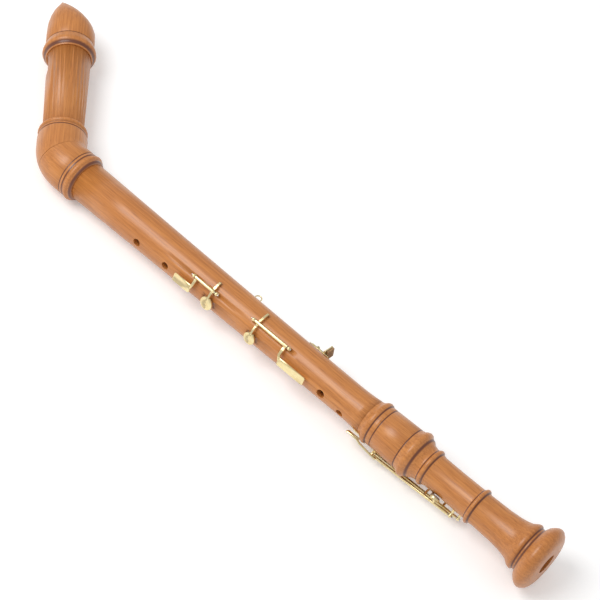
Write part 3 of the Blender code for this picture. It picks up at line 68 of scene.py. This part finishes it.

# How far out a ring of painted shade is at its darkest, and where it ends, as shares of its half width
RING_CORE = 0.3
RING_EDGE = 1.1

WHITE = (1.0, 1.0, 1.0, 1.0)
PEAR_LIGHT = (0.66, 0.262, 0.066, 1.0)
PEAR_DARK = (0.50, 0.178, 0.040, 1.0)
# The colour of the painted shade in the grooves
GROOVE_SHADE_COLOR = (0.15, 0.042, 0.016, 1.0)
CEDAR_LIGHT = (0.42, 0.19, 0.10, 1.0)
CEDAR_DARK = (0.27, 0.10, 0.05, 1.0)
CORK_LIGHT = (0.50, 0.31, 0.15, 1.0)
CORK_DARK = (0.22, 0.11, 0.05, 1.0)
BRASS_LIGHT = (0.87, 0.74, 0.42, 1.0)
BRASS_DARK = (0.80, 0.65, 0.34, 1.0)
STEEL_LIGHT = (0.62, 0.62, 0.63, 1.0)
STEEL_DARK = (0.40, 0.40, 0.41, 1.0)
LEATHER_LIGHT = (0.42, 0.32, 0.24, 1.0)
LEATHER_DARK = (0.26, 0.18, 0.13, 1.0)

# Tints that wood is multiplied by in its clouds and its pores, how strongly, and its coat of oil
CLOUD_TINT = (0.86, 0.80, 0.76, 1.0)
CLOUD_SHARE = 0.8
PORE_TINT = (0.62, 0.55, 0.50, 1.0)
PORE_SHARE = 0.55
OIL_WEIGHT = 0.18
OIL_ROUGHNESS = 0.25

# How finely grain and polishing marks are drawn along their direction and across it
GRAIN_SCALES = (9.0, 260.0, 260.0)
BRUSH_SCALES = (40.0, 900.0, 900.0)

# Polishing marks run along X, as the body does
BRUSH_AXIS = Vector((1.0, 0.0, 0.0))

# Noise patterns, as (scale, detail)
STREAKS = (1.6, 8.0)
CLOUDS = (9.0, 3.0)
PORES = (6.5, 4.0)
TARNISH = (140.0, 4.0)
BRUSH_MARKS = (1.5, 3.0)

# Cells to the metre in cork and leather, and how much finer and how detailed their specks are
CORK_CELLS = 900.0
LEATHER_CELLS = 1600.0
SPECK_FINENESS = 1.7
SPECK_DETAIL = 5.0

# Where a pattern leaves its first colour, and where it reaches its second
STREAK_STOPS = (0.30, 0.68)
CLOUD_STOPS = (0.30, 0.70)
PORE_STOPS = (0.36, 0.47)
TARNISH_STOPS = (0.32, 0.60)
GRANULE_STOPS = (0.05, 0.45)

# The least roughness of each finish, and what its pattern adds to it at most
WOOD_ROUGHNESS = 0.26
BRASS_ROUGHNESS = 0.20
STEEL_ROUGHNESS = 0.22
CORK_ROUGHNESS = 0.70
LEATHER_ROUGHNESS = 0.60
WOOD_SPREAD = 0.22
METAL_SPREAD = 0.22
SOFT_SPREAD = 0.20

# The relief of each finish, as (strength, depth in metres)
WOOD_RELIEF = (0.12, 0.0003)
METAL_RELIEF = (0.02, 0.0001)
SOFT_RELIEF = (0.35, 0.0004)

# Corners nearer than this many metres are joined, and edges flatter than this angle shade as round
JOIN_WITHIN = 0.000002
ROUND_BELOW = math.radians(32.0)

# The floor, and the light that it adds of its own to what the camera and the metal see
FLOOR_WIDTH = 30.0
FLOOR_COLOR = (0.93, 0.93, 0.93, 1.0)
FLOOR_ROUGHNESS = 0.8
FLOOR_GLOW = 0.22

# Even light from all round, and one broad lamp
ROOM_LIGHT = 0.62
LAMP_PLACE = (-0.9, -1.1, 2.2)
LAMP_WIDTH = 1.6
LAMP_POWER = 34.0

# Sockets of a Mix node for colours, which share their names with others for numbers and vectors
MIX_FACTOR = 0
MIX_FIRST = 6
MIX_SECOND = 7
MIX_RESULT = 2


def ring_middle(node):
    """The middle of a plain ring, which lies on the axis of its bore."""
    low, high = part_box(node)
    return (low + high) / 2.0


def bores():
    """The body's bore and the head's, as (direction, how far along it the knee's corner lies)."""
    axes = {joint["name"]: Vector(joint["axis"]) for joint in frame["joints"]}
    body = axes["knee_turn"]
    head = axes["head_pull"]
    on_body = ring_middle("upper_tenon_cork")
    on_head = ring_middle("head_tenon_cork")
    corner = intersect_line_line(on_body, on_body + body, on_head, on_head + head)[0]
    return (body, corner.dot(body)), (head, corner.dot(head))


def new_material(name):
    """A new material with its nodes, its links and its main shader."""
    material = bpy.data.materials.new(name)
    material.use_nodes = True
    tree = material.node_tree
    return material, tree.nodes, tree.links, tree.nodes["Principled BSDF"]


def feed(links, value, socket):
    """Links a node's output to a socket, or sets a plain number or colour on it."""
    if isinstance(value, bpy.types.NodeSocket):
        links.new(value, socket)
    else:
        socket.default_value = value


def noise(nodes, links, position, pattern):
    """A noise pattern, from 0 to 1."""
    texture = nodes.new("ShaderNodeTexNoise")
    texture.inputs["Scale"].default_value, texture.inputs["Detail"].default_value = pattern
    links.new(position, texture.inputs["Vector"])
    return texture.outputs["Fac"]


def stretched(nodes, links, axis, scales):
    """A place on the object, and the same place turned to bring an axis onto X and drawn out along it."""
    turn = -math.atan2(axis.y, axis.x)
    coordinates = nodes.new("ShaderNodeTexCoord")
    turning = nodes.new("ShaderNodeMapping")
    turning.inputs["Rotation"].default_value = (0.0, 0.0, turn)
    links.new(coordinates.outputs["Object"], turning.inputs["Vector"])
    drawing = nodes.new("ShaderNodeMapping")
    drawing.inputs["Scale"].default_value = scales
    links.new(turning.outputs["Vector"], drawing.inputs["Vector"])
    return coordinates.outputs["Object"], drawing.outputs["Vector"]


def ramp(nodes, links, pattern, stops, first, second):
    """The first of two colours up to a pattern's first stop, the second from its second stop on."""
    blend = nodes.new("ShaderNodeValToRGB")
    for element, stop, color in zip(blend.color_ramp.elements, stops, (first, second)):
        element.position = stop
        element.color = color
    links.new(pattern, blend.inputs["Fac"])
    return blend.outputs["Color"]


def mix(nodes, links, factor, first, second, kind="MIX"):
    """Two colours blended in the named way, as far as a factor from 0 to 1."""
    blend = nodes.new("ShaderNodeMix")
    blend.data_type = "RGBA"
    blend.blend_type = kind
    feed(links, factor, blend.inputs[MIX_FACTOR])
    feed(links, first, blend.inputs[MIX_FIRST])
    feed(links, second, blend.inputs[MIX_SECOND])
    return blend.outputs[MIX_RESULT]


def calculate(nodes, links, operation, first, second=0.0):
    """The result of one operation on one or two numbers."""
    step = nodes.new("ShaderNodeMath")
    step.operation = operation
    feed(links, first, step.inputs[0])
    feed(links, second, step.inputs[1])
    return step.outputs["Value"]


def roughen(nodes, links, shader, pattern, least, spread):
    """Roughness that rises with a pattern."""
    rise = calculate(nodes, links, "MULTIPLY", pattern, spread)
    links.new(calculate(nodes, links, "ADD", rise, least), shader.inputs["Roughness"])


def bump(nodes, links, shader, height, relief):
    """Fine relief from a pattern, only in the way light falls on it."""
    bumps = nodes.new("ShaderNodeBump")
    bumps.inputs["Strength"].default_value, bumps.inputs["Distance"].default_value = relief
    links.new(height, bumps.inputs["Height"])
    links.new(bumps.outputs["Normal"], shader.inputs["Normal"])


def painted_groove_shade(nodes, links, position, axis, start, shaded_grooves):
    """How dark a place is from the rings of painted shade along the grooves round the wood, from 0 to 1."""
    along = nodes.new("ShaderNodeVectorMath")
    along.operation = "DOT_PRODUCT"
    along.inputs[1].default_value = axis
    links.new(position, along.inputs[0])
    distance = calculate(nodes, links, "SUBTRACT", along.outputs["Value"], start)
    total = None
    for place, half_width in shaded_grooves:
        away = calculate(nodes, links, "SUBTRACT", distance, place)
        edge = nodes.new("ShaderNodeMapRange")
        edge.interpolation_type = "SMOOTHSTEP"
        edge.inputs["From Min"].default_value = half_width * RING_EDGE
        edge.inputs["From Max"].default_value = half_width * RING_CORE
        links.new(calculate(nodes, links, "ABSOLUTE", away), edge.inputs["Value"])
        ring = edge.outputs["Result"]
        total = ring if total is None else calculate(nodes, links, "MAXIMUM", total, ring)
    return total


def turned_wood(name, bore, shaded_grooves=(), light=PEAR_LIGHT, dark=PEAR_DARK):
    """Fine straight grain under oil, with small pores, and painted shade in dark rings along the grooves."""
    axis, start = bore
    material, nodes, links, shader = new_material(name)
    position, along_grain = stretched(nodes, links, axis, GRAIN_SCALES)
    streaks = noise(nodes, links, along_grain, STREAKS)
    color = ramp(nodes, links, streaks, STREAK_STOPS, dark, light)
    clouds = noise(nodes, links, position, CLOUDS)
    tint = ramp(nodes, links, clouds, CLOUD_STOPS, CLOUD_TINT, WHITE)
    color = mix(nodes, links, CLOUD_SHARE, color, tint, "MULTIPLY")
    pores = noise(nodes, links, along_grain, PORES)
    tint = ramp(nodes, links, pores, PORE_STOPS, PORE_TINT, WHITE)
    color = mix(nodes, links, PORE_SHARE, color, tint, "MULTIPLY")
    # Painted shade: dark rings mixed into the wood along its grooves
    if shaded_grooves:
        shade_in_grooves = painted_groove_shade(nodes, links, position, axis, start, shaded_grooves)
        color = mix(nodes, links, shade_in_grooves, color, GROOVE_SHADE_COLOR)
    links.new(color, shader.inputs["Base Color"])
    roughen(nodes, links, shader, pores, WOOD_ROUGHNESS, WOOD_SPREAD)
    shader.inputs["Coat Weight"].default_value = OIL_WEIGHT
    shader.inputs["Coat Roughness"].default_value = OIL_ROUGHNESS
    bump(nodes, links, shader, pores, WOOD_RELIEF)
    return material


def worn_metal(name, light, dark, roughness):
    """Satin metal with faint polishing marks and slightly tarnished patches."""
    material, nodes, links, shader = new_material(name)
    position, brushed = stretched(nodes, links, BRUSH_AXIS, BRUSH_SCALES)
    patches = noise(nodes, links, position, TARNISH)
    color = ramp(nodes, links, patches, TARNISH_STOPS, dark, light)
    links.new(color, shader.inputs["Base Color"])
    marks = noise(nodes, links, brushed, BRUSH_MARKS)
    roughen(nodes, links, shader, marks, roughness, METAL_SPREAD)
    shader.inputs["Metallic"].default_value = 1.0
    bump(nodes, links, shader, marks, METAL_RELIEF)
    return material


def grained_soft(name, light, dark, cells_per_metre, roughness):
    """Cork granules or leather pores: a cell pattern broken up by noise."""
    material, nodes, links, shader = new_material(name)
    coordinates = nodes.new("ShaderNodeTexCoord")
    position = coordinates.outputs["Object"]
    cells = nodes.new("ShaderNodeTexVoronoi")
    cells.inputs["Scale"].default_value = cells_per_metre
    links.new(position, cells.inputs["Vector"])
    specks = noise(nodes, links, position, (cells_per_metre * SPECK_FINENESS, SPECK_DETAIL))
    granules = calculate(nodes, links, "MULTIPLY", cells.outputs["Distance"], specks)
    color = ramp(nodes, links, granules, GRANULE_STOPS, light, dark)
    links.new(color, shader.inputs["Base Color"])
    roughen(nodes, links, shader, specks, roughness, SOFT_SPREAD)
    bump(nodes, links, shader, granules, SOFT_RELIEF)
    return material


def node_finishes():
    """The finish of each wooden node, and of each material slot for everything else."""
    body, head = bores()
    by_node = {
        "middle_joint": turned_wood("middle joint wood", body),
        "knee_lower": turned_wood("lower knee wood", body, KNEE_SHADED_GROOVES),
        "foot_joint": turned_wood("foot wood", body, FOOT_SHADED_GROOVES),
        "head_tube": turned_wood("head wood", head),
        "knee_upper": turned_wood("upper knee wood", head, UPPER_KNEE_SHADED_GROOVES),
        "cap": turned_wood("cap wood", head, CAP_SHADED_GROOVES),
        "block": turned_wood("block cedar", head, light=CEDAR_LIGHT, dark=CEDAR_DARK),
    }
    by_slot = {
        "brass": worn_metal("satin brass", BRASS_LIGHT, BRASS_DARK, BRASS_ROUGHNESS),
        "steel": worn_metal("spring steel", STEEL_LIGHT, STEEL_DARK, STEEL_ROUGHNESS),
        "cork": grained_soft("cork sheet", CORK_LIGHT, CORK_DARK, CORK_CELLS, CORK_ROUGHNESS),
        "pad_leather": grained_soft(
            "pad leather", LEATHER_LIGHT, LEATHER_DARK, LEATHER_CELLS, LEATHER_ROUGHNESS),
    }
    return by_node, by_slot


def smooth_copy(node):
    """A copy of a node with its triangles joined, so that round surfaces shade as round."""
    mesh = frame["nodes"][node].data.copy()
    piece = bpy.data.objects.new(f"{node}_finished", mesh)
    bpy.context.scene.collection.objects.link(piece)
    bpy.ops.object.select_all(action="DESELECT")
    piece.select_set(True)
    bpy.context.view_layer.objects.active = piece
    bpy.ops.object.mode_set(mode="EDIT")
    bpy.ops.mesh.select_all(action="SELECT")
    bpy.ops.mesh.remove_doubles(threshold=JOIN_WITHIN)
    bpy.ops.object.mode_set(mode="OBJECT")
    bpy.ops.object.shade_smooth_by_angle(angle=ROUND_BELOW)
    return piece


def dress_nodes():
    """Puts a smooth copy, in its own finish, in the place of each node and on its body."""
    by_node, by_slot = node_finishes()
    bodies = frame["record"]["behaviour"]["bodies"]
    slots = {entry["node"]: entry["material_slot"] for entry in frame["record"]["subparts"]}
    for body, nodes in bodies.items():
        for node in nodes:
            piece = smooth_copy(node)
            finish = by_node.get(node) or by_slot[slots[node]]
            piece.data.materials.clear()
            piece.data.materials.append(finish)
            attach(piece, body)
            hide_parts(node)


def add_floor():
    """A wide pale floor that shows as nearly white."""
    bpy.ops.object.select_all(action="DESELECT")
    bpy.ops.mesh.primitive_plane_add(size=FLOOR_WIDTH, location=(0.0, 0.0, 0.0))
    floor = bpy.context.object
    floor.name = "floor"
    material, nodes, links, shader = new_material("pale floor")
    shader.inputs["Base Color"].default_value = FLOOR_COLOR
    shader.inputs["Roughness"].default_value = FLOOR_ROUGHNESS
    shader.inputs["Emission Color"].default_value = WHITE
    rays = nodes.new("ShaderNodeLightPath")
    seen = calculate(
        nodes, links, "MAXIMUM", rays.outputs["Is Camera Ray"], rays.outputs["Is Glossy Ray"])
    glow = calculate(nodes, links, "MULTIPLY", seen, FLOOR_GLOW)
    links.new(glow, shader.inputs["Emission Strength"])
    floor.data.materials.append(material)


def add_light():
    """Even light from all round, and a broad lamp above, turned to the middle of the floor."""
    world = bpy.data.worlds.new("studio")
    bpy.context.scene.world = world
    world.use_nodes = True
    background = world.node_tree.nodes["Background"]
    background.inputs["Color"].default_value = WHITE
    background.inputs["Strength"].default_value = ROOM_LIGHT
    bpy.ops.object.light_add(type="AREA", location=LAMP_PLACE)
    lamp = bpy.context.object
    lamp.name = "soft_box"
    lamp.data.shape = "DISK"
    lamp.data.size = LAMP_WIDTH
    lamp.data.energy = LAMP_POWER
    lamp.rotation_euler = (-lamp.location).to_track_quat("-Z", "Y").to_euler()


def add_camera():
    """The camera at the photograph's viewing angle."""
    side = CAMERA_AHEAD.cross(CAMERA_UP).normalized()
    up = side.cross(CAMERA_AHEAD).normalized()
    turn = Matrix((side, up, -CAMERA_AHEAD.normalized())).transposed().to_4x4()
    lens = bpy.data.cameras.new("camera")
    lens.lens = CAMERA_LENS
    lens.sensor_width = CAMERA_SENSOR
    camera = bpy.data.objects.new("camera", lens)
    camera.matrix_world = Matrix.Translation(CAMERA_PLACE) @ turn
    bpy.context.scene.collection.objects.link(camera)
    bpy.context.scene.camera = camera


add_camera()
dress_nodes()
add_floor()
add_light()
bpy.context.scene.view_settings.view_transform = "Standard"
